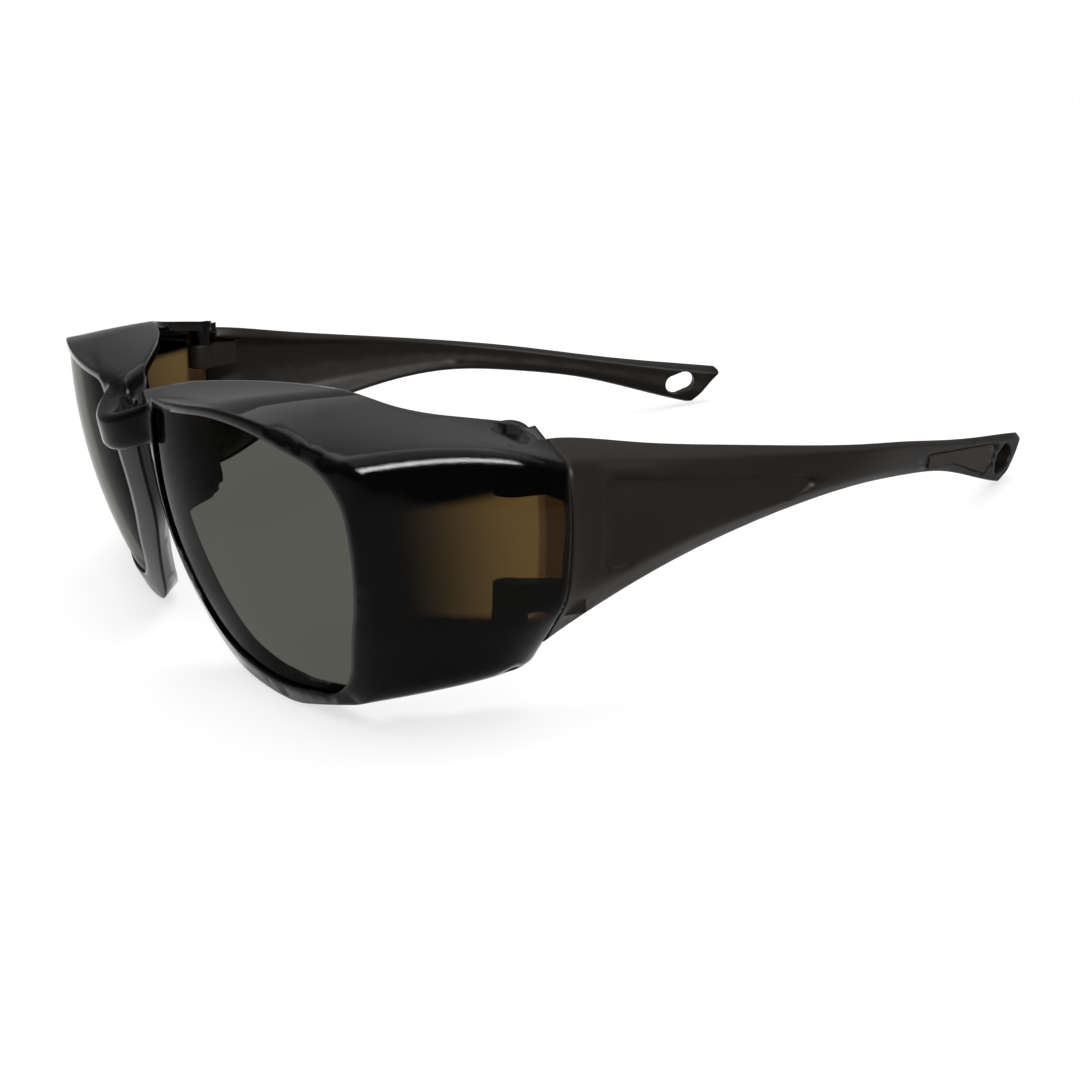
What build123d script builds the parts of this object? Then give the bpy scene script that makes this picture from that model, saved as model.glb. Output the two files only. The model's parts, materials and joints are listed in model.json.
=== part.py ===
"""Fitover sunglasses: a moulded front with side shields, two lenses and two folding temples.

X points to the wearer's left, Y runs back from the lenses to the temple tips and Z is up.
The sunglasses stand on their lower rims and temple tips, and the origin is under their middle.
"""
import os
from math import cos, radians, sin

from build123d import *

# Overall places
seam_y = -32.2  # seam between shield and temple, from the middle of the sunglasses
seam_top = 37.3  # height of the top of that seam
seam_half_width = 67.0  # half the width across the tops of the two seams
hinge_lean = 9.7  # degrees that the hinge axis leans back
lens_wrap = 10.2  # degrees that each lens turns away from the front
overrun = 6.0  # how far a cutting solid reaches past what it cuts

# Lenses
lens_middle_x = 37.6
lens_ahead = 31.9  # from the seam forward to the plane that the lens outline is drawn on
lens_width = 54.2
lens_height = 40.8
lens_thickness = 1.6
lens_front_depth = 0.5  # front of the lens behind the front of the rim
groove_reach = 0.5  # how far the lens goes into its groove
groove_clearance = 0.1
opening_overcut = 0.6  # how far the opening is cut past the back of the rim

# Moulded front
wall = 1.8
dome_radius = 88.0  # front of the rim, a dome over each lens
dome_rise = 4.6  # how far the dome stands ahead of the plane of the lens outline
dome_height = 29.8
rim_side = 4.9
rim_top = 1.0
rim_bottom = 3.0
rim_depth = 3.8
middle_depth = 12.0  # from the plane of the lens outline back to the outline half way along
shield_lip_run = 9.0  # how far the top of the shield reaches in from the seam
lower_lip_run = 3.5
flank_end = 17.0  # how far past the middle of the lens the lower rim is open at the back
sill_top = 12.7  # the sill is open at the back below this height
bridge_half_width = 11.0
bridge_front = 41.6  # from the seam forward to the middle of the bridge
bridge_depth = 7.0
bridge_height = 7.2
bridge_dip = 4.1  # how far the middle of the bridge lies below the top of the rims
bridge_root_front = 36.2  # from the seam forward to the ends of the bridge inside the rims
bridge_root_drop = 1.7
bridge_root_depth = 5.6
bridge_round = 1.5

# Hinges
hinge_inset = 2.6  # hinge axis inside the top of the seam
hinge_ahead = 3.5  # from the seam forward to the hinge axis
lug_radius = 2.4
lug_clearance = 0.12
boss_rim = 0.1  # how much wider a boss is than the lug it carries
upper_boss_drop = 3.0  # underside of the upper boss below the top of the seam
upper_lug_height = 4.6
upper_lug_root = 5.0  # where the lugs join the side of the temple, outside the top of the seam
lower_boss_drop = 24.0  # upper side of the lower boss below the top of the seam
lower_lug_height = 4.0
lower_lug_root = 3.2
lug_root_back = 5.0
lug_inset = 0.4
pin_diameter = 1.8
pin_head_diameter = 2.4
pin_head_height = 0.8
pin_clearance = 0.05
pin_end_gap = 0.3  # shank shorter than the hole through the lug
upper_pin_drop = 0.4  # top of the upper pin's head below the top of the seam
lower_pin_drop = 30.2  # bottom of the lower pin's head below the top of the seam

# Temples
seam_gap = 0.25
temple_length = 108.5
temple_inset = 20.9
temple_drop = 11.4
temple_height = 28.5
temple_bulge = 7.6
temple_thickness = 3.4
temple_round = 0.5
tip_round = 1.8
tip_run = 19.4  # length of the temple that the outline of its tip cuts

# Panel pressed into the side of each temple
panel_front = 6.5
panel_length = 39.0
panel_height = 13.0
panel_drop = 5.0
panel_depth = 0.4
panel_round = 1.5

# Soft pad let into each temple tip
pad_to_tip = 34.1  # from the front of the pad to the tip
pad_length = 25.0
pad_drop = 9.4
pad_height = 7.0
pad_thickness = 1.0
pad_round = 0.4
pad_clearance = 0.05
pad_proud = 0.15

# Strap eyelet through each temple tip
eyelet_to_tip = 6.2
eyelet_drop = 15.0
eyelet_length = 6.6
eyelet_width = 4.2
eyelet_tilt = 22.0
eyelet_turn = 28.0

front_width = lens_width + 2 * rim_side
front_height = rim_bottom + lens_height + rim_top
hinge_x = seam_half_width - hinge_inset
boss_radius = lug_radius + boss_rim
pad_front = temple_length - pad_to_tip
eyelet_back = temple_length - eyelet_to_tip
lens_radius = dome_radius - lens_front_depth

# Unit directions: across a lens, straight back from it, back along a temple and up a hinge pin
across_lens = (cos(radians(lens_wrap)), sin(radians(lens_wrap)), 0)
behind_lens = (-sin(radians(lens_wrap)), cos(radians(lens_wrap)), 0)
along_temple = (0, cos(radians(hinge_lean)), -sin(radians(hinge_lean)))
up_hinge = (0, sin(radians(hinge_lean)), cos(radians(hinge_lean)))

# Planes: the left lens, a side view of it, the seam, the hinge seen along its pin and its side view
lens_place = (lens_middle_x, seam_y - lens_ahead, 0)
seam_place = (0, seam_y, seam_top)
lens_plane = Plane(lens_place, x_dir=across_lens, z_dir=-Vector(behind_lens))
dome_plane = Plane(
    Vector(lens_place) + Vector(behind_lens) * (dome_radius - dome_rise)
    + Vector(0, 0, dome_height)
)
lens_side_plane = Plane(lens_place, x_dir=behind_lens, z_dir=across_lens)
seam_plane = Plane(seam_place, x_dir=(1, 0, 0), z_dir=-Vector(along_temple))
hinge_plane = Plane(seam_place, x_dir=(1, 0, 0), z_dir=up_hinge)
temple_side_plane = Plane(seam_place, x_dir=along_temple, z_dir=(1, 0, 0))

# Lens opening, from its upper nasal corner round by the temple side, as shares of its size
lens_outline_shares = [
    (-0.461, 0.961), (0.092, 1.023), (0.469, 0.863), (0.478, 0.527),
    (0.314, 0.042), (-0.028, 0.0), (-0.36, 0.069), (-0.533, 0.49),
]
lens_round_shares = [0.09, 1.22, 0.22, 0.74, 0.3, 0.98, 0.39, 0.39]

# Outlines of one half of the front at the lens and half way back, the same way round
front_outline_shares = [
    (-0.586, 0.946), (0.125, 1.028), (0.429, 0.891), (0.449, 0.664), (0.414, 0.39),
    (0.295, 0.096), (0.0, -0.006), (-0.393, 0.006), (-0.606, 0.358),
]
middle_outline_shares = [
    (-0.325, 0.991), (0.167, 1.0), (0.54, 0.88), (0.572, 0.647), (0.553, 0.39),
    (0.453, 0.116), (0.23, 0.058), (-0.1, 0.09), (-0.31, 0.58),
]
front_round_shares = [0.07, 1.34, 0.07, 0.67, 0.45, 0.18, 0.67, 0.36, 0.27]
middle_round_shares = [0.07, 0.88, 0.07, 0.67, 0.45, 0.16, 0.33, 0.11, 0.18]

# Outer side of shield and temple at the seam: shares of the bulge and of the height
root_shares = [(0.0, 0.0), (0.83, -0.102), (1.0, -0.386), (0.87, -0.73), (0.0, -1.0)]
root_round_shares = [0.088, 1.05, 0.35]
seam_nose_shares = [(-2.0, -1.2), (-2.8, -1.08), (-3.0, -0.49), (-3.0, 0.26)]
seam_round_shares = [0.1, 1.2, 0.088, 1.05, 0.35, 0.17, 0.17, 0.17, 0.17]

# Temple stations: place along it, inset, drop, height, bulge and thickness
station_shares = [
    (0.0, 0.0, 0.0, 1.0, 1.0, 0.76),
    (0.125, -0.033, 0.123, 0.72, 0.72, 0.82),
    (0.25, -0.053, 0.254, 0.493, 0.53, 0.88),
    (0.375, -0.048, 0.368, 0.329, 0.39, 0.94),
    (0.5, 0.024, 0.482, 0.224, 0.29, 1.0),
    (0.625, 0.23, 0.605, 0.192, 0.21, 0.97),
    (0.75, 0.483, 0.763, 0.185, 0.18, 0.97),
    (0.875, 0.746, 0.895, 0.252, 0.18, 1.12),
    (1.0, 1.0, 1.0, 0.316, 0.18, 1.2),
    (1.06, 1.12, 1.05, 0.34, 0.18, 1.24),
]
inner_thickness_shares = [0.5, 1.0, 1.0, 1.0, 0.45]
inner_height_shares = [0.056, 0.028, 0.0, -0.053, -0.074]
inner_round_shares = [0.28, 0.0, 0.07]

# Section of the bridge, from its lower front edge round by the top
bridge_outline_shares = [(0.06, -1.0), (0.04, -0.12), (1.0, 0.0), (0.95, -0.75)]

# Rear edge of the brow, from the bridge to the hinge: shares of the lens middle and the seam depth
brow_edge_shares = [
    (-0.03, 1.08), (0.29, 0.925), (0.56, 0.775), (1.04, 0.58), (1.43, 0.445), (1.57, 0.27),
]
# Rear edge of the lower rim and the shield, in the same shares
sill_edge_shares = [(1.22, 0.83), (1.41, 0.66), (1.55, 0.47)]
# Rear edge of the wall beside the nose: shares of the depth and height of the front
flank_edge_shares = [(0.34, 0.506), (1.05, 0.759)]
flank_top_share = 0.64

# Outline of the pressed panel, of the soft pad and of the temple tip
panel_outline_shares = [(0.0, 0.0), (1.0, -0.3), (0.82, -0.54), (0.4, -0.86), (0.0, -1.0)]
panel_round_shares = [1.0, 0.5, 6.0, 10.0, 1.0]
pad_outline_shares = [(0.0, -0.08), (1.0, -0.36), (0.85, -1.0), (0.35, -0.46), (0.0, -0.4)]
pad_round_shares = [1.0, 2.0, 2.0, 20.0, 1.0]
tip_outline_shares = [(-0.1, 0.3), (1.025, -0.37), (0.945, -0.74), (-0.1, -1.3)]


def scaled(shares, width, height, middle=0.0, base=0.0):
    """Points of an outline from its shares of a width and a height."""
    return [(middle + across * width, base + up * height) for across, up in shares]


def rounded(points, radii, mode=Mode.ADD):
    """A filled outline with rounded corners."""
    with BuildLine() as line:
        FilletPolyline(*points, radius=radii, close=True)
    make_face(line.edges(), mode=mode)


def seam_points():
    """Closed outline of the front half at the seam, from above the nose to the shield."""
    outer = scaled(root_shares, temple_bulge, temple_height, seam_half_width)
    top, corner = outer[0], outer[1]
    low, bottom = outer[3], outer[4]
    top_slope = (corner[1] - top[1]) / (corner[0] - top[0])
    low_slope = (low[1] - bottom[1]) / (low[0] - bottom[0])
    upper_lip = (top[0] - shield_lip_run, top[1] - shield_lip_run * top_slope)
    lower_lip = (bottom[0] - lower_lip_run, bottom[1] - lower_lip_run * low_slope)
    nose = scaled(seam_nose_shares, temple_bulge, temple_height, seam_half_width)
    return [nose[3], upper_lip, *outer[1:4], lower_lip, *nose[:3]]


front_points = scaled(front_outline_shares, front_width, front_height)
middle_points = scaled(middle_outline_shares, front_width, front_height)
lens_points = scaled(lens_outline_shares, lens_width, lens_height, base=rim_bottom)
front_radii = [share * front_height for share in front_round_shares]
middle_radii = [share * front_height for share in middle_round_shares]
seam_radii = [share * temple_height for share in seam_round_shares]
lens_radii = [share * lens_height for share in lens_round_shares]


def front_body(inset, depth):
    """One half of the front from its dome back to the seam, smaller all round and set back."""
    with BuildPart() as body:
        with BuildSketch(lens_plane) as rim_face:
            rounded(front_points, front_radii)
            if inset:
                offset(amount=-inset)
        with BuildSketch(lens_plane.offset(-middle_depth)):
            rounded(middle_points, middle_radii)
            if inset:
                offset(amount=-inset)
        with BuildSketch(seam_plane.offset(-inset)):
            rounded(seam_points(), seam_radii)
            if inset:
                offset(amount=-inset)
        loft()
        extrude(rim_face.sketch, amount=dome_rise + overrun)
        with Locations(dome_plane):
            Sphere(dome_radius - depth, mode=Mode.INTERSECT)
    return body.part


# Hollow inside one half of the front, with the bosses of the hinge left standing
with BuildPart() as hollow:
    add(front_body(wall, rim_depth))
    with BuildSketch(hinge_plane.offset(-upper_boss_drop)):
        with Locations((hinge_x, -hinge_ahead)):
            Circle(boss_radius)
    extrude(amount=upper_boss_drop + overrun, mode=Mode.SUBTRACT)
    with BuildSketch(hinge_plane.offset(-lower_boss_drop)):
        with Locations((hinge_x, -hinge_ahead)):
            Circle(boss_radius)
    extrude(amount=-temple_height, mode=Mode.SUBTRACT)

# What is open at the back under the lens, beside the nose and under the shield
hinge_inner_x = hinge_x - boss_radius
flank = scaled(flank_edge_shares, middle_depth, front_height)
sill_edge = scaled(sill_edge_shares, lens_middle_x, -lens_ahead, base=seam_y)
with BuildPart() as rear_opening:
    with BuildSketch(lens_side_plane.offset(-front_width)):
        with BuildLine():
            Polyline(
                (flank[0][0], -overrun),
                flank[0],
                flank[1],
                (lens_ahead + overrun, flank[1][1]),
                (lens_ahead + overrun, -overrun),
                close=True,
            )
        make_face()
    extrude(amount=front_width + flank_end)
    with BuildSketch(Plane.XY.offset(-overrun)):
        with BuildLine():
            Polyline(
                *sill_edge,
                (hinge_inner_x, seam_y - hinge_ahead - boss_radius),
                (hinge_inner_x, seam_y + overrun),
                (lens_middle_x, seam_y + overrun),
                (lens_middle_x, sill_edge[0][1]),
                close=True,
            )
        make_face()
    extrude(amount=overrun + sill_top)
    with Locations(dome_plane):
        Sphere(dome_radius - rim_depth, mode=Mode.INTERSECT)

# One half of the moulded front: brow, rim, shield and the wall beside the nose
with BuildPart() as half_front:
    add(front_body(0, 0))
    add(hollow.part, mode=Mode.SUBTRACT)
    add(rear_opening.part, mode=Mode.SUBTRACT)

    # Rear edge of the brow
    brow_edge = scaled(brow_edge_shares, lens_middle_x, -lens_ahead, base=seam_y)
    with BuildSketch(Plane.XY.offset(flank_top_share * front_height)):
        with BuildLine():
            edge = Spline(*brow_edge)
            Polyline(
                edge @ 1,
                (hinge_inner_x, seam_y - hinge_ahead),
                (hinge_inner_x, seam_y + overrun),
                (brow_edge[0][0], seam_y + overrun),
                edge @ 0,
            )
        make_face()
    extrude(amount=front_height, mode=Mode.SUBTRACT)

    # Rounding of the top and the sill about the hinge axis, so that the temple clears them
    with BuildSketch(hinge_plane):
        with Locations((hinge_x, -hinge_ahead)):
            Rectangle(
                boss_radius + overrun,
                hinge_ahead + overrun,
                align=(Align.MAX, Align.MIN),
            )
            Circle(boss_radius, mode=Mode.SUBTRACT)
    extrude(amount=front_height, both=True, mode=Mode.SUBTRACT)

# Stepped holes through the two bosses of one hinge: how far down it each head rests, and the way out
pin_seats = [
    (upper_pin_drop + pin_head_height, upper_boss_drop, 1),
    (lower_pin_drop - pin_head_height, lower_boss_drop, -1),
]
with BuildPart() as pin_holes:
    for seat_drop, boss_drop, way in pin_seats:
        with BuildSketch(hinge_plane.offset(-seat_drop)):
            with Locations((hinge_x, -hinge_ahead)):
                Circle(pin_diameter / 2 + pin_clearance)
        extrude(amount=-way * (abs(seat_drop - boss_drop) + lug_clearance))
        with BuildSketch(hinge_plane.offset(-seat_drop)):
            with Locations((hinge_x, -hinge_ahead)):
                Circle(pin_head_diameter / 2 + pin_clearance)
        extrude(amount=way * overrun)

# Groove that one lens snaps into, and the opening in front of and behind it
with BuildPart() as groove:
    with BuildSketch(lens_plane):
        rounded(lens_points, lens_radii)
        offset(amount=groove_reach + groove_clearance)
    extrude(amount=middle_depth, both=True)
    with Locations(dome_plane):
        Sphere(lens_radius + groove_clearance, mode=Mode.INTERSECT)
        Sphere(lens_radius - lens_thickness - groove_clearance, mode=Mode.SUBTRACT)

with BuildPart() as lens_seat:
    with BuildSketch(lens_plane):
        rounded(lens_points, lens_radii)
    extrude(amount=middle_depth, both=True)
    with Locations(dome_plane):
        Sphere(dome_radius - rim_depth - opening_overcut, mode=Mode.SUBTRACT)
    add(groove.part)

# One lens: a domed plate, larger than its opening by the reach of the groove
with BuildPart() as lens_left:
    with BuildSketch(lens_plane):
        rounded(lens_points, lens_radii)
        offset(amount=groove_reach)
    extrude(amount=middle_depth, both=True)
    with Locations(dome_plane):
        Sphere(lens_radius, mode=Mode.INTERSECT)
        Sphere(lens_radius - lens_thickness, mode=Mode.SUBTRACT)
os.makedirs("parts", exist_ok=True)
lens_left.part.label = "lens_left"
export_step(lens_left.part, "parts/lens_left.step")

with BuildPart() as lens_right:
    mirror(lens_left.part, about=Plane.YZ)
lens_right.part.label = "lens_right"
export_step(lens_right.part, "parts/lens_right.step")

def temple_section(shares):
    """Outline of the temple at one station."""
    _, inset, drop, height, bulge, thickness = shares
    edge_x = seam_half_width - inset * temple_inset
    edge_w = -drop * temple_drop
    outer = scaled(root_shares, bulge * temple_bulge, height * temple_height, edge_x, edge_w)
    inner = []
    for (x, w), inward, upward in zip(
        reversed(outer), inner_thickness_shares, inner_height_shares
    ):
        step = thickness * temple_thickness * inward
        inner.append((x - step, w + upward * height * temple_height))
    return outer + inner


def temple_radii(shares):
    """Corner radii of the outline of the temple at one station."""
    height = shares[3] * temple_height
    corner, side, low = [share * height for share in root_round_shares]
    inner_low, inner_side, inner_high = [share * height for share in inner_round_shares]
    return [
        temple_round, corner, side, low, temple_round,
        temple_round, inner_low, inner_side, inner_high, temple_round,
    ]


def beside_temple(depth):
    """The space beyond the side of the temple, from a depth below its surface outwards."""
    far_x = seam_half_width + temple_bulge + overrun
    with BuildPart() as space:
        for shares in station_shares:
            outer = temple_section(shares)[:len(root_shares)]
            side_radii = temple_radii(shares)[1:len(root_shares) - 1]
            (top_x, top_w), (low_x, low_w) = outer[0], outer[-1]
            points = [
                (far_x, top_w + overrun),
                (top_x - depth, top_w + overrun),
                *[(x - depth, w) for x, w in outer[1:-1]],
                (low_x - depth, low_w - overrun),
                (far_x, low_w - overrun),
            ]
            end_radii = [temple_round, temple_round]
            with BuildSketch(seam_plane.offset(-shares[0] * temple_length)):
                rounded(points, [*end_radii, *side_radii, *end_radii])
        loft()
    return space.part


def side_outline(shares, radii, front, length, drop, height):
    """A rounded outline in the side view of the temple."""
    points = scaled(shares, length, height, front, -drop)
    rounded(points, radii)


# Plane of the strap eyelet, part way through the thickness of the tip
last_but_one, last = station_shares[-3], station_shares[-2]
eyelet_run = (eyelet_back / temple_length - last_but_one[0]) / (last[0] - last_but_one[0])
eyelet_inset = last_but_one[1] + eyelet_run * (last[1] - last_but_one[1])
eyelet_place = (
    Vector(seam_place)
    + Vector(seam_half_width - eyelet_inset * temple_inset, 0, 0)
    + Vector(along_temple) * eyelet_back
    - Vector(up_hinge) * eyelet_drop
)
turn = radians(eyelet_turn)
eyelet_plane = Plane(
    eyelet_place,
    x_dir=Vector(along_temple) * cos(turn) - Vector(sin(turn), 0, 0),
    z_dir=Vector(along_temple) * sin(turn) + Vector(cos(turn), 0, 0),
)

# Volume pressed out of the side of the temple
panel_radii = [share * panel_round for share in panel_round_shares]
with BuildPart() as pressed_panel:
    with BuildSketch(temple_side_plane.offset(seam_half_width)):
        side_outline(
            panel_outline_shares, panel_radii, panel_front, panel_length, panel_drop, panel_height
        )
    extrude(amount=temple_bulge + overrun)
    add(beside_temple(panel_depth), mode=Mode.INTERSECT, clean=False)

# Soft pad in the tip, and the larger pocket that it lies in
pad_radii = [share * pad_round for share in pad_round_shares]
with BuildPart() as pad_pocket:
    with BuildSketch(temple_side_plane):
        side_outline(pad_outline_shares, pad_radii, pad_front, pad_length, pad_drop, pad_height)
        offset(amount=pad_clearance)
    extrude(amount=seam_half_width + overrun)
    add(beside_temple(pad_thickness + pad_clearance), mode=Mode.INTERSECT, clean=False)

with BuildPart() as tip_pad_left:
    with BuildSketch(temple_side_plane):
        side_outline(pad_outline_shares, pad_radii, pad_front, pad_length, pad_drop, pad_height)
    extrude(amount=seam_half_width + overrun)
    add(beside_temple(pad_thickness), mode=Mode.INTERSECT, clean=False)
    add(beside_temple(-pad_proud), mode=Mode.SUBTRACT, clean=False)

# Left temple: the body with its rounded tip, hinge lugs, pressed panel, pad pocket and eyelet
lug_places = [
    (upper_boss_drop + lug_clearance, upper_lug_height, upper_lug_root),
    (lower_boss_drop - lug_clearance - lower_lug_height, lower_lug_height, lower_lug_root),
]
lug_outer_x = hinge_x + lug_radius
lug_inner_x = seam_half_width - lug_inset
tip_points = scaled(tip_outline_shares, temple_length, temple_height)
with BuildPart() as temple_left:
    for shares in station_shares:
        with BuildSketch(seam_plane.offset(-max(shares[0] * temple_length, seam_gap))):
            rounded(temple_section(shares), temple_radii(shares))
    loft()
    with BuildSketch(temple_side_plane):
        with Locations((temple_length - tip_run, -temple_drop)):
            Rectangle(temple_length, front_height, align=(Align.MIN, Align.CENTER))
        rounded(tip_points, tip_round, mode=Mode.SUBTRACT)
    extrude(amount=seam_half_width + overrun, clean=False, mode=Mode.SUBTRACT)
    for drop, height, root in lug_places:
        with BuildSketch(hinge_plane.offset(-drop)):
            with BuildLine():
                Polyline(
                    (hinge_x - lug_radius, -hinge_ahead),
                    (lug_inner_x, lug_root_back),
                    (seam_half_width + root, lug_root_back),
                    (seam_half_width + root, seam_gap),
                    (lug_outer_x, seam_gap),
                    (lug_outer_x, -hinge_ahead),
                    close=True,
                )
            make_face()
            with Locations((hinge_x, -hinge_ahead)):
                Circle(lug_radius)
        extrude(amount=-height, clean=False)
    with BuildSketch(hinge_plane):
        with Locations((hinge_x, -hinge_ahead)):
            Circle(pin_diameter / 2 + pin_clearance)
    extrude(amount=-temple_height, clean=False, mode=Mode.SUBTRACT)
    add(pressed_panel.part, mode=Mode.SUBTRACT, clean=False)
    add(pad_pocket.part, mode=Mode.SUBTRACT, clean=False)
    with BuildSketch(eyelet_plane):
        SlotOverall(eyelet_length, eyelet_width, rotation=eyelet_tilt)
    extrude(amount=overrun, both=True, clean=False, mode=Mode.SUBTRACT)
temple_left.part.label = "temple_left"
export_step(temple_left.part, "parts/temple_left.step")
tip_pad_left.part.label = "tip_pad_left"
export_step(tip_pad_left.part, "parts/tip_pad_left.step")

with BuildPart() as temple_right:
    mirror(temple_left.part, about=Plane.YZ)
temple_right.part.label = "temple_right"
export_step(temple_right.part, "parts/temple_right.step")

with BuildPart() as tip_pad_right:
    mirror(tip_pad_left.part, about=Plane.YZ)
tip_pad_right.part.label = "tip_pad_right"
export_step(tip_pad_right.part, "parts/tip_pad_right.step")

# Hinge pins: each head rests in its boss and the shank ends inside the lug
pins = {}
for name, (seat_drop, boss_drop, way), lug_height in zip(
    ("upper", "lower"), pin_seats, (upper_lug_height, lower_lug_height)
):
    reach = abs(seat_drop - boss_drop) + lug_clearance + lug_height - pin_end_gap
    with BuildPart() as pin:
        with BuildSketch(hinge_plane.offset(-seat_drop)):
            with Locations((hinge_x, -hinge_ahead)):
                Circle(pin_head_diameter / 2)
        extrude(amount=way * pin_head_height)
        with BuildSketch(hinge_plane.offset(-seat_drop)):
            with Locations((hinge_x, -hinge_ahead)):
                Circle(pin_diameter / 2)
        extrude(amount=-way * reach)
    pins[f"hinge_pin_{name}_left"] = pin.part
    pins[f"hinge_pin_{name}_right"] = mirror(pin.part, about=Plane.YZ, mode=Mode.PRIVATE)
for name, pin_part in pins.items():
    pin_part.label = name
    export_step(pin_part, f"parts/{name}.step")

# Moulded front: two halves, the bridge between them, lens seats and pin holes
half_solid = half_front.solids().sort_by(SortBy.VOLUME)[-1]
with BuildPart() as front_frame:
    add(half_solid)
    mirror(half_solid, about=Plane.YZ)
    for side in (-1, 0, 1):
        back = seam_y - (bridge_root_front if side else bridge_front)
        top = front_height - (bridge_root_drop if side else bridge_dip)
        depth = bridge_root_depth if side else bridge_depth
        with BuildSketch(Plane.YZ.offset(side * bridge_half_width)):
            points = scaled(bridge_outline_shares, depth, bridge_height, back, top)
            rounded(points, bridge_round)
    loft()
    add(lens_seat.part, mode=Mode.SUBTRACT)
    mirror(lens_seat.part, about=Plane.YZ, mode=Mode.SUBTRACT)
    add(pin_holes.part, mode=Mode.SUBTRACT)
    mirror(pin_holes.part, about=Plane.YZ, mode=Mode.SUBTRACT)
front_frame.part.label = "front_frame"
export_step(front_frame.part, "parts/front_frame.step")
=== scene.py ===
# %% [markdown]
# # Fitover sunglasses
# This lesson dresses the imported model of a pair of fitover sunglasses: a glossy smoke-brown front
# with side shields, two gray lenses, two satin temples with soft pads, and four hinge pins.
# The solids come from the CAD model and are already in the right place, in metres. What is left
# to do here is to smooth their shading, to give each its finish, and to light and frame them.

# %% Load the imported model
import json
import math

import bmesh
import bpy
from mathutils import Matrix, Vector


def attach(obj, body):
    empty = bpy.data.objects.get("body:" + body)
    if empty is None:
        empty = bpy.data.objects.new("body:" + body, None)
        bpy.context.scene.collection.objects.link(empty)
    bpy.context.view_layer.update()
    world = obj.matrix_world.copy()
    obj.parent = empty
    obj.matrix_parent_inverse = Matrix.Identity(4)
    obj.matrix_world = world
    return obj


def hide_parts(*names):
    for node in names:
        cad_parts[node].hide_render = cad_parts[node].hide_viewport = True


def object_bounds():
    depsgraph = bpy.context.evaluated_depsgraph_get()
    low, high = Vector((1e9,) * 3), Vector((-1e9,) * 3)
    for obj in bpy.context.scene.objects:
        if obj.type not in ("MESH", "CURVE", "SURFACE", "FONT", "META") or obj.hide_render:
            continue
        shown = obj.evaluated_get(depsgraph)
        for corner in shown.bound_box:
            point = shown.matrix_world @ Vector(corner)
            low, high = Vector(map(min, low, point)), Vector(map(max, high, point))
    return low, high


MM = 0.001

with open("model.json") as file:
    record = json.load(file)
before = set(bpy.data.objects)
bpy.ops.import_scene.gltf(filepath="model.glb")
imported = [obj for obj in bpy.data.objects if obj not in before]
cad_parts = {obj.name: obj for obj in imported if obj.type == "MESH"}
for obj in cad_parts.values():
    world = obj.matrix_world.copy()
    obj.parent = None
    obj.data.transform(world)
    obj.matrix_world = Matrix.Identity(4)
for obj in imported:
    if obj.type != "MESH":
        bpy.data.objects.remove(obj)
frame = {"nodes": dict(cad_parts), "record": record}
cad_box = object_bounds()

# %% [markdown]
# ## A short way to write materials
# A shader is a web of nodes. Long webs are easier to read as sums and products, so a small class
# wraps one output socket and adds a Math node whenever two of them are added or multiplied.


# %% Sockets that can be added and multiplied
class Wire:
    """An output socket of a node tree, with the operators of plain arithmetic."""

    def __init__(self, tree, socket):
        self.tree = tree
        self.socket = socket

    def node(self, kind, settings=None, output=0, **values):
        """A new node in the same tree: settings first, then the values or links of its inputs."""
        made = self.tree.nodes.new(kind)
        for name, value in (settings or {}).items():
            setattr(made, name, value)
        for name, value in values.items():
            key = int(name[3:]) if name.startswith("in_") else name.replace("_", " ")
            if isinstance(value, Wire):
                self.tree.links.new(value.socket, made.inputs[key])
            else:
                made.inputs[key].default_value = value
        return Wire(self.tree, made.outputs[output])

    def math(self, operation, first, second=0.0, clamp=False):
        settings = {"operation": operation, "use_clamp": clamp}
        return self.node("ShaderNodeMath", settings, in_0=first, in_1=second)

    def __add__(self, other):
        return self.math("ADD", self, other)

    __radd__ = __add__

    def __sub__(self, other):
        return self.math("SUBTRACT", self, other)

    def __rsub__(self, other):
        return self.math("SUBTRACT", other, self)

    def __mul__(self, other):
        return self.math("MULTIPLY", self, other)

    __rmul__ = __mul__

    def size(self):
        """The value without its sign."""
        return self.math("ABSOLUTE", self)

    def clamped(self):
        """The value kept between 0 and 1."""
        return self.math("ADD", self, 0.0, clamp=True)

    def step(self, low, high):
        """0 below low, 1 above high and a smooth rise between them."""
        return self.node(
            "ShaderNodeMapRange",
            {"interpolation_type": "SMOOTHSTEP"},
            Value=self, From_Min=low, From_Max=high,
        )

    def pick(self, first, second):
        """A colour that goes from the first to the second as this value goes from 0 to 1."""
        return self.node(
            "ShaderNodeMix", {"data_type": "RGBA"}, output=2, in_0=self, in_6=first, in_7=second
        )


print("wires ready")

# %% [markdown]
# Four more helpers keep the material cells short: a new material with its shader and its
# coordinates, the constants of a shader, a link to one of its inputs, and a colour given as it
# looks on screen.


# %% Material helpers
def new_material(name):
    """An empty Principled material: the material, its shader node and a wire to build on."""
    material = bpy.data.materials.new(name)
    material.use_nodes = True
    tree = material.node_tree
    shader = tree.nodes["Principled BSDF"]
    place = tree.nodes.new("ShaderNodeTexCoord")
    return material, shader, Wire(tree, place.outputs["Object"])


def coordinates(place):
    """The three coordinates of a place as separate numbers: across, along and height."""
    outputs = place.node("ShaderNodeSeparateXYZ", in_0=place).socket.node.outputs
    return [Wire(place.tree, outputs[index]) for index in range(3)]


def set_constants(shader, **values):
    """Numbers and colours that are the same all over a surface."""
    for name, value in values.items():
        shader.inputs[name.replace("_", " ")].default_value = value


def plug(wire, shader, name):
    """Link a wire to one named input of a shader."""
    wire.tree.links.new(wire.socket, shader.inputs[name])


def srgb(red, green, blue):
    """A colour given as 0 to 255 on screen, turned into the linear values that shaders use."""
    linear = [(c / 255) ** 2.2 for c in (red, green, blue)]
    return (*linear, 1.0)


print("material helpers ready")

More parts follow.
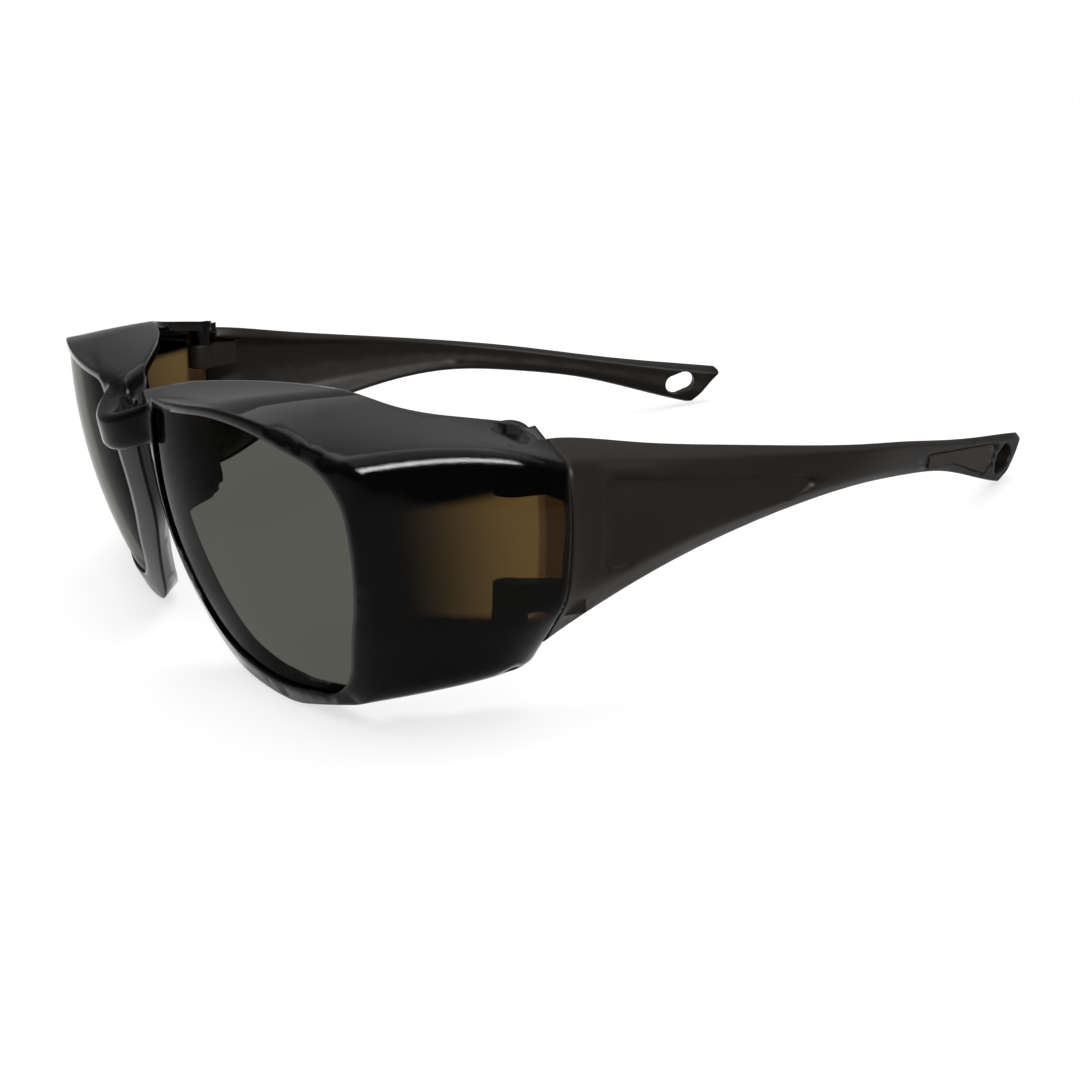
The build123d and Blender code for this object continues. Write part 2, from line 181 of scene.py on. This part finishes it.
# %% [markdown]
# ## Smooth shading on the moulded parts
# The CAD model arrives as loose triangles, so its curved walls would catch the light facet by
# facet. A copy of each node is merged into one skin, its faces are set smooth, and only the edges
# that turn by more than a set angle stay crisp. The copy then stands for the node.

# %% Smooth copies of the CAD nodes
MERGE = 2e-6
CREASE_DEGREES = 32

node_bodies = {
    node: body
    for body, nodes in frame["record"]["behaviour"]["bodies"].items()
    for node in nodes
}


def smooth_copy(node):
    """A merged, smooth-shaded copy of a CAD node that stands for it."""
    mesh = frame["nodes"][node].data.copy()
    bm = bmesh.new()
    bm.from_mesh(mesh)
    bmesh.ops.remove_doubles(bm, verts=bm.verts, dist=MERGE)
    bm.to_mesh(mesh)
    bm.free()
    mesh.shade_smooth()
    mesh.set_sharp_from_angle(angle=math.radians(CREASE_DEGREES))
    mesh.materials.clear()
    piece = bpy.data.objects.new(node + ".skin", mesh)
    bpy.context.scene.collection.objects.link(piece)
    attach(piece, node_bodies[node])
    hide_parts(node)
    return piece


skins = {node: smooth_copy(node) for node in sorted(frame["nodes"])}


def finish_with(material, *nodes):
    """Give the skins of some nodes their material."""
    for node in nodes:
        skins[node].data.materials.append(material)


print({name: len(piece.data.polygons) for name, piece in skins.items()})

# %% [markdown]
# ## Soft edges from the shader
# No moulded edge is knife-sharp: the shoulder of the brow is rounded by about a millimetre and
# catches a long white highlight. The Bevel node turns the normals near an edge as if it were
# rounded, which gives that highlight without adding thousands of small faces. The mesh itself
# keeps its sharp edge. A fine relief, such as the grain of a mould, may lie on top of it.

# %% Rounded edges
EDGE_SAMPLES = 6


def round_edges(place, shader, radius, relief=None):
    """Shade the edges as if rounded, with a relief of (height, strength, depth) on top."""
    normal = place.node("ShaderNodeBevel", {"samples": EDGE_SAMPLES}, Radius=radius)
    if relief is not None:
        height, strength, depth = relief
        normal = place.node(
            "ShaderNodeBump", Strength=strength, Distance=depth, Height=height, Normal=normal
        )
    plug(normal, shader, "Normal")


print("edge helper ready")

# %% [markdown]
# ## Smoke-brown moulding
# The front is clear plastic with a dark brown tint. In the photograph one part of each shield
# glows warm brown and the rest looks black. A clear shader can show both, because each surface
# that the light crosses multiplies it by the base colour. The thickness of a wall plays no part in
# that, so the two are painted: the base colour is nearly black, and lighter in a window of painted
# light, where light comes through the shield, whose place was taken from the photograph, between
# the brow above and a sill below that slopes down to the rear. At its rear end a redder, darker
# strip is painted shade. Both stay with the part in every view.
# Real plastic has an index of refraction of about 1.5. In a white studio that would lay a gray
# veil over the black walls, so a much lower one is used, chosen for the look of the photograph.

# %% Front material
SMOKE = srgb(7, 6, 7)
# The amber below is painted light: the warm glow where light comes through the shield.
PAINTED_GLOW_AMBER = srgb(86, 69, 41)
# The russet below is painted shade: a darker, redder strip at the rear end of the window.
PAINTED_SHADE_RUSSET = srgb(45, 32, 18)
GLOW_WINDOW_FRONT = (-56.0 * MM, -38.0 * MM)
SHADE_STRIP_LEAN = 0.151
SHADE_STRIP_FRONT = (-42.0 * MM, -41.3 * MM)
SILL_SLOPE = 0.255
SILL_TOP = (4.2 * MM, 5.6 * MM)
BROW_FOOT = (32.0 * MM, 33.8 * MM)

smoke, shader, place = new_material("smoke_brown_moulding")
along, height = coordinates(place)[1:]
# The window is painted light: its base colour is lighter where light comes through the shield,
# between the sill and the brow.
above_sill = (height + along * SILL_SLOPE).step(*SILL_TOP)
painted_glow_window = along.step(*GLOW_WINDOW_FRONT) * above_sill * (1.0 - height.step(*BROW_FOOT))
# Toward the rear the window turns darker and redder: painted shade.
painted_light_tint = (along - height * SHADE_STRIP_LEAN).step(*SHADE_STRIP_FRONT).pick(PAINTED_GLOW_AMBER, PAINTED_SHADE_RUSSET)
plug(painted_glow_window.pick(SMOKE, painted_light_tint), shader, "Base Color")
set_constants(shader, Roughness=0.035, IOR=1.14, Transmission_Weight=1.0)
round_edges(place, shader, 0.9 * MM)
finish_with(smoke, "front_frame")
print("front finished")

# %% [markdown]
# ## Gray lenses
# Each lens is a thin plate with a neutral tint, so it takes the same kind of shader with a gray
# base colour and almost no roughness. The very low index of refraction, which leaves nearly no
# reflection, and the darker base colour beside the nose were both chosen for the look of the
# photograph. That darker part is painted shade, where the dark front shows through the lens, not a
# denser tint.
# The photograph doesn't tell the real lens's index, or whether it has a coating.

# %% Lens material
# The nasal gray is painted shade: darker where the dark inside of the front shows through the lens.
NASAL_PAINTED_SHADE = srgb(66, 66, 64)
GRAY = srgb(86, 87, 81)
SHADED_TO_PLAIN = (8 * MM, 34 * MM)

gray, shader, place = new_material("gray_lens")
from_nose = coordinates(place)[0].size()
# The lens is painted darker toward the nose: painted shade, not a denser tint.
plug(from_nose.step(*SHADED_TO_PLAIN).pick(NASAL_PAINTED_SHADE, GRAY), shader, "Base Color")
set_constants(shader, Roughness=0.01, IOR=1.03, Transmission_Weight=1.0)
finish_with(gray, "lens_left", "lens_right")
print("lenses finished")

# %% [markdown]
# ## Satin temples
# The temples are opaque and dark brown, with a satin surface. A fine even grain, as an eroded
# mould gives, spreads their highlights. They are a shade lighter at the hinge than at the tip.
# One noise makes the grain, and a much larger one lets the gloss wander a little. Their index of
# refraction is lower than a real plastic's too, to keep them dark in the white studio.

# %% Temple material
SATIN_HINGE = srgb(31, 28, 25)
SATIN_TIP = srgb(23, 21, 19)
HINGE_TO_TIP = (-30 * MM, 60 * MM)
GRAIN_SCALE = 5200.0
CLOUD_SCALE = 60.0

satin, shader, place = new_material("satin_dark_brown")
along = coordinates(place)[1]
cloud = place.node("ShaderNodeTexNoise", Vector=place, Scale=CLOUD_SCALE, Detail=3.0)
grain = place.node("ShaderNodeTexNoise", Vector=place, Scale=GRAIN_SCALE, Detail=2.0)
plug(along.step(*HINGE_TO_TIP).pick(SATIN_HINGE, SATIN_TIP), shader, "Base Color")
plug(cloud * 0.08 + 0.4, shader, "Roughness")
set_constants(shader, IOR=1.12)
round_edges(place, shader, 0.7 * MM, relief=(grain, 0.12, 0.03 * MM))
finish_with(satin, "temple_left", "temple_right")
print("temples finished")

# %% [markdown]
# ## Soft pads and steel pins
# The pads in the tips are a touch redder and duller than the temples. Their short nap is a guess.
# So are the pins, which hardly show in the photograph: plain steel with turned ends, which a fine
# noise in their roughness suggests.

# %% Pad and pin materials
PAD_DARK = srgb(32, 26, 23)
PAD_LIGHT = srgb(41, 34, 31)
STEEL = srgb(112, 108, 104)
NAP_SCALE = 2600.0
TURNED_SCALE = 3000.0

soft, shader, place = new_material("soft_pad_rubber")
nap = place.node("ShaderNodeTexNoise", Vector=place, Scale=NAP_SCALE, Detail=4.0)
plug(nap.pick(PAD_DARK, PAD_LIGHT), shader, "Base Color")
set_constants(shader, Roughness=0.62, IOR=1.14)
round_edges(place, shader, 0.3 * MM, relief=(nap, 0.3, 0.05 * MM))
finish_with(soft, "tip_pad_left", "tip_pad_right")

steel, shader, place = new_material("pin_steel")
turned = place.node("ShaderNodeTexNoise", Vector=place, Scale=TURNED_SCALE, Detail=1.0)
plug(turned * 0.2 + 0.22, shader, "Roughness")
set_constants(shader, Base_Color=STEEL, Metallic=1.0)
round_edges(place, shader, 0.2 * MM)
pins = [node for node in skins if node.startswith("hinge_pin")]
finish_with(steel, *pins)
print("pads and", len(pins), "pins finished")

# %% [markdown]
# ## Floor
# The sunglasses stand on white paper. The camera, and what it sees through the lenses, get most of
# that white directly, so that the paper runs out to the white world without an edge, and the rest
# from the lamps, which keeps the shadow under the front. Gloss mirrors a part of that white.

# %% Floor sheet
REACH = 6.0
FLOOR_GAP = 0.02 * MM

floor_z = cad_box[0][2] - FLOOR_GAP
corners = [(x * REACH, y * REACH, floor_z) for x, y in ((-1, -1), (1, -1), (1, 1), (-1, 1))]
floor_mesh = bpy.data.meshes.new("floor")
floor_mesh.from_pydata(corners, [], [(0, 1, 2, 3)])
floor = bpy.data.objects.new("floor", floor_mesh)
bpy.context.scene.collection.objects.link(floor)
print("floor at", round(floor_z, 6))

# %% Floor material
WHITE = (1.0, 1.0, 1.0, 1.0)
PAPER = (0.9, 0.9, 0.9, 1.0)
NEAR_TO_FAR = (0.2, 0.7)
NEAR_GLOW = 0.7
MIRRORED_GLOW = 0.2


def light_path(tree):
    """1 for what the camera sees, also through clear pieces, and 1 for what gloss mirrors."""
    outputs = tree.nodes.new("ShaderNodeLightPath").outputs
    camera_ray, clear_ray, glossy_ray = (
        Wire(tree, outputs[f"Is {kind} Ray"]) for kind in ("Camera", "Transmission", "Glossy")
    )
    return (camera_ray + clear_ray).clamped(), glossy_ray


paper = bpy.data.materials.new("white_paper")
paper.use_nodes = True
tree = paper.node_tree
tree.nodes.remove(tree.nodes["Principled BSDF"])
seen, mirrored = light_path(tree)
spot = Wire(tree, tree.nodes.new("ShaderNodeTexCoord").outputs["Object"])
distance = seen.node("ShaderNodeVectorMath", {"operation": "LENGTH"}, output=1, in_0=spot)
seen_glow = distance.step(*NEAR_TO_FAR) * (1.0 - NEAR_GLOW) + NEAR_GLOW
matte = seen.node("ShaderNodeBsdfDiffuse", Color=PAPER)
glow = seen.node("ShaderNodeEmission", Color=WHITE, Strength=1.0)
share = (seen * seen_glow + mirrored * MIRRORED_GLOW).clamped()
mixed = seen.node("ShaderNodeMixShader", in_0=share, in_1=matte, in_2=glow)
plug(mixed, tree.nodes["Material Output"], "Surface")
floor_mesh.materials.append(paper)
print("floor finished")

# %% [markdown]
# ## World
# The world is pure white for the camera and through the lenses. It adds only a dim fill to the
# light on the object, and in the gloss it rises from dim at the horizon to white overhead, like a
# studio whose walls are darker than its ceiling. That leaves the upright walls deep black and
# gives the top of the brow its soft gray.

# %% World material
FILL = 0.25
MIRRORED_HORIZON = 0.1
MIRRORED_RISE = 0.65
HORIZON_TO_TOP = (0.3, 0.8)

world = bpy.data.worlds.new("studio")
bpy.context.scene.world = world
world.use_nodes = True
tree = world.node_tree
seen, mirrored = light_path(tree)
sky = Wire(tree, tree.nodes.new("ShaderNodeTexCoord").outputs["Generated"])
overhead = coordinates(sky)[2].step(*HORIZON_TO_TOP)
in_gloss = mirrored * (overhead * MIRRORED_RISE + MIRRORED_HORIZON)
background = tree.nodes["Background"]
plug(seen * (1.0 - FILL) + in_gloss + FILL, background, "Strength")
set_constants(background, Color=WHITE)
print("world ready")

# %% [markdown]
# ## Lamps
# A large ceiling lamp lights everything softly. The gloss needs something to mirror: a dim box on
# the far side for the top of the brow, and a bright strip along its shoulder. The strip doesn't
# take part in the diffuse light, so it leaves the rest at a plain level.

# %% Lamps
OBJECT_MIDDLE = (0, 0, 0.03)
SHOULDER = (0.05, -0.03, 0.03)
SIDE = (0.75, -0.1, 0.55)


def softbox(name, place, aim, size, power, highlights_only=False):
    """A rectangular area lamp that looks at a point, or shows only as a highlight in gloss."""
    lamp = bpy.data.lights.new(name, "AREA")
    lamp.shape = "RECTANGLE"
    lamp.size, lamp.size_y = size
    lamp.energy = power
    holder = bpy.data.objects.new(name, lamp)
    bpy.context.scene.collection.objects.link(holder)
    direction = Vector(aim) - Vector(place)
    holder.location = place
    holder.rotation_euler = direction.to_track_quat("-Z", "Y").to_euler()
    holder.visible_diffuse = not highlights_only


softbox("ceiling", (0.0, 0.1, 0.9), (0, 0, 0), (1.1, 1.1), 13.0)
softbox("far_side", (-0.4, 0.3, 0.72), OBJECT_MIDDLE, (0.9, 0.9), 2.2)
softbox("side_fill", SIDE, OBJECT_MIDDLE, (0.5, 0.5), 3.0)
softbox("edge_strip", SIDE, SHOULDER, (0.6, 0.2), 60.0, highlights_only=True)
print("lamps", [lamp.name for lamp in bpy.data.lights])

# %% [markdown]
# ## Camera
# The camera stands to the wearer's left and ahead of the lenses, a little above them, and is rolled
# by a few degrees, as in the photograph. Its three axes are given as they were solved from the
# mirror symmetry of the two halves, because angles would have to be turned back into them.

# %% Camera
SENSOR = 36.0
FRAME_PIXELS = 1080
FOCAL_PIXELS = 1593.7
RIGHTWARD = (0.49960477, 0.85623308, -0.13137728)
UPWARD = (-0.22134978, 0.27281166, 0.93625748)
BACKWARD = (0.83749588, -0.43867837, 0.32582501)
STANDPOINT = (245.31, -128.41, 93.09)

camera_data = bpy.data.cameras.new("camera")
camera_data.sensor_width = SENSOR
camera_data.lens = SENSOR * FOCAL_PIXELS / FRAME_PIXELS
camera_data.clip_start = 0.01
camera = bpy.data.objects.new("camera", camera_data)
bpy.context.scene.collection.objects.link(camera)
pose = Matrix((RIGHTWARD, UPWARD, BACKWARD)).transposed().to_4x4()
pose.translation = Vector(STANDPOINT) * MM
camera.matrix_world = pose
bpy.context.scene.camera = camera
bpy.context.scene.view_settings.view_transform = "Standard"
print("camera at", tuple(round(c, 4) for c in camera.location))

# %% [markdown]
# ## The end
# The dressed model has to stay inside the box of the CAD model.

# %% The end
print("done")
